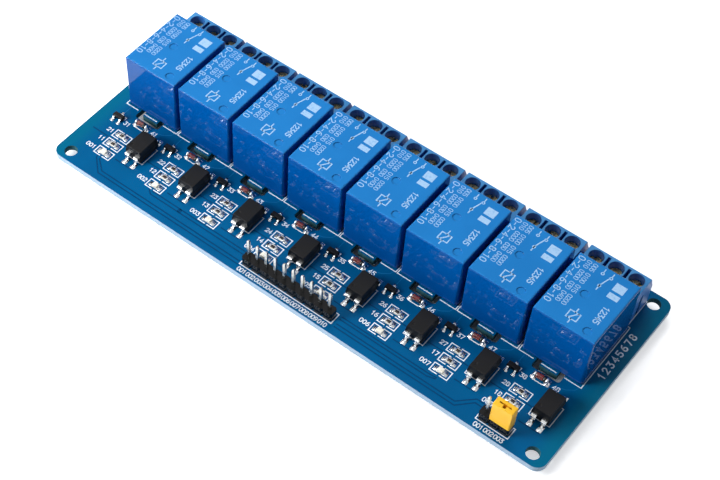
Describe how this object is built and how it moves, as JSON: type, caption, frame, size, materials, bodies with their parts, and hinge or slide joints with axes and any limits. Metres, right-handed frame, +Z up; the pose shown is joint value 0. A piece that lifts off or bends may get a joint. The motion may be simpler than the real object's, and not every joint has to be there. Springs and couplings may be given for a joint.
{
  "type": "relay module board",
  "caption": "Blue circuit board with a row of sealed relays, screw terminals behind them, and optocoupler input circuits with pin headers along the front edge.",
  "frame": {"origin": "centre of the board's outline, at the level of the trimmed pin tails under it", "axes": "+X along the relay row towards the supply header's end, +Y towards the screw terminals, +Z up from the board through the relays"},
  "size_m": [0.138, 0.0542, 0.0192],
  "materials": {
    "board": "blue solder mask over glass-fibre laminate, satin gloss",
    "relay_case": "blue moulded plastic, fairly glossy",
    "terminal_plastic": "light blue moulded plastic, semi-matt",
    "black_plastic": "black moulding compound, matt",
    "header_plastic": "black moulded plastic, semi-matt",
    "jumper_plastic": "yellow moulded plastic",
    "tinned_metal": "tin-plated copper alloy, bright",
    "clamp_metal": "nickel-plated steel, satin",
    "screw_metal": "yellow passivated steel screw",
    "solder": "bright solder",
    "diode_glass": "orange-red glass tube between tinned end caps",
    "led_white": "white base with a milky clear lens",
    "chip_ceramic": "black glaze on white ceramic, tinned ends"
  },
  "bodies": {
    "root": {"circuit_board": "board", "relay_1": "relay_case", "relay_2": "relay_case", "relay_3": "relay_case", "relay_4": "relay_case", "relay_5": "relay_case", "relay_6": "relay_case", "relay_7": "relay_case", "relay_8": "relay_case", "terminal_block_1": "terminal_plastic", "terminal_block_2": "terminal_plastic", "terminal_block_3": "terminal_plastic", "terminal_block_4": "terminal_plastic", "terminal_block_5": "terminal_plastic", "terminal_block_6": "terminal_plastic", "terminal_block_7": "terminal_plastic", "terminal_block_8": "terminal_plastic", "optocoupler_1": "black_plastic", "optocoupler_2": "black_plastic", "optocoupler_3": "black_plastic", "optocoupler_4": "black_plastic", "optocoupler_5": "black_plastic", "optocoupler_6": "black_plastic", "optocoupler_7": "black_plastic", "optocoupler_8": "black_plastic", "flyback_diode_1": "diode_glass", "flyback_diode_2": "diode_glass", "flyback_diode_3": "diode_glass", "flyback_diode_4": "diode_glass", "flyback_diode_5": "diode_glass", "flyback_diode_6": "diode_glass", "flyback_diode_7": "diode_glass", "flyback_diode_8": "diode_glass", "indicator_led_1": "led_white", "indicator_led_2": "led_white", "indicator_led_3": "led_white", "indicator_led_4": "led_white", "indicator_led_5": "led_white", "indicator_led_6": "led_white", "indicator_led_7": "led_white", "indicator_led_8": "led_white", "relay_pins": "tinned_metal", "terminal_screws": "screw_metal", "terminal_clamps": "clamp_metal", "transistors": "black_plastic", "transistor_leads": "tinned_metal", "optocoupler_leads": "tinned_metal", "resistors": "chip_ceramic", "input_header": "header_plastic", "input_header_pins": "tinned_metal", "supply_header": "header_plastic", "supply_header_pins": "tinned_metal", "jumper_cap": "jumper_plastic", "jumper_shunt": "clamp_metal", "solder_joints": "solder"}
  },
  "joints": []
}
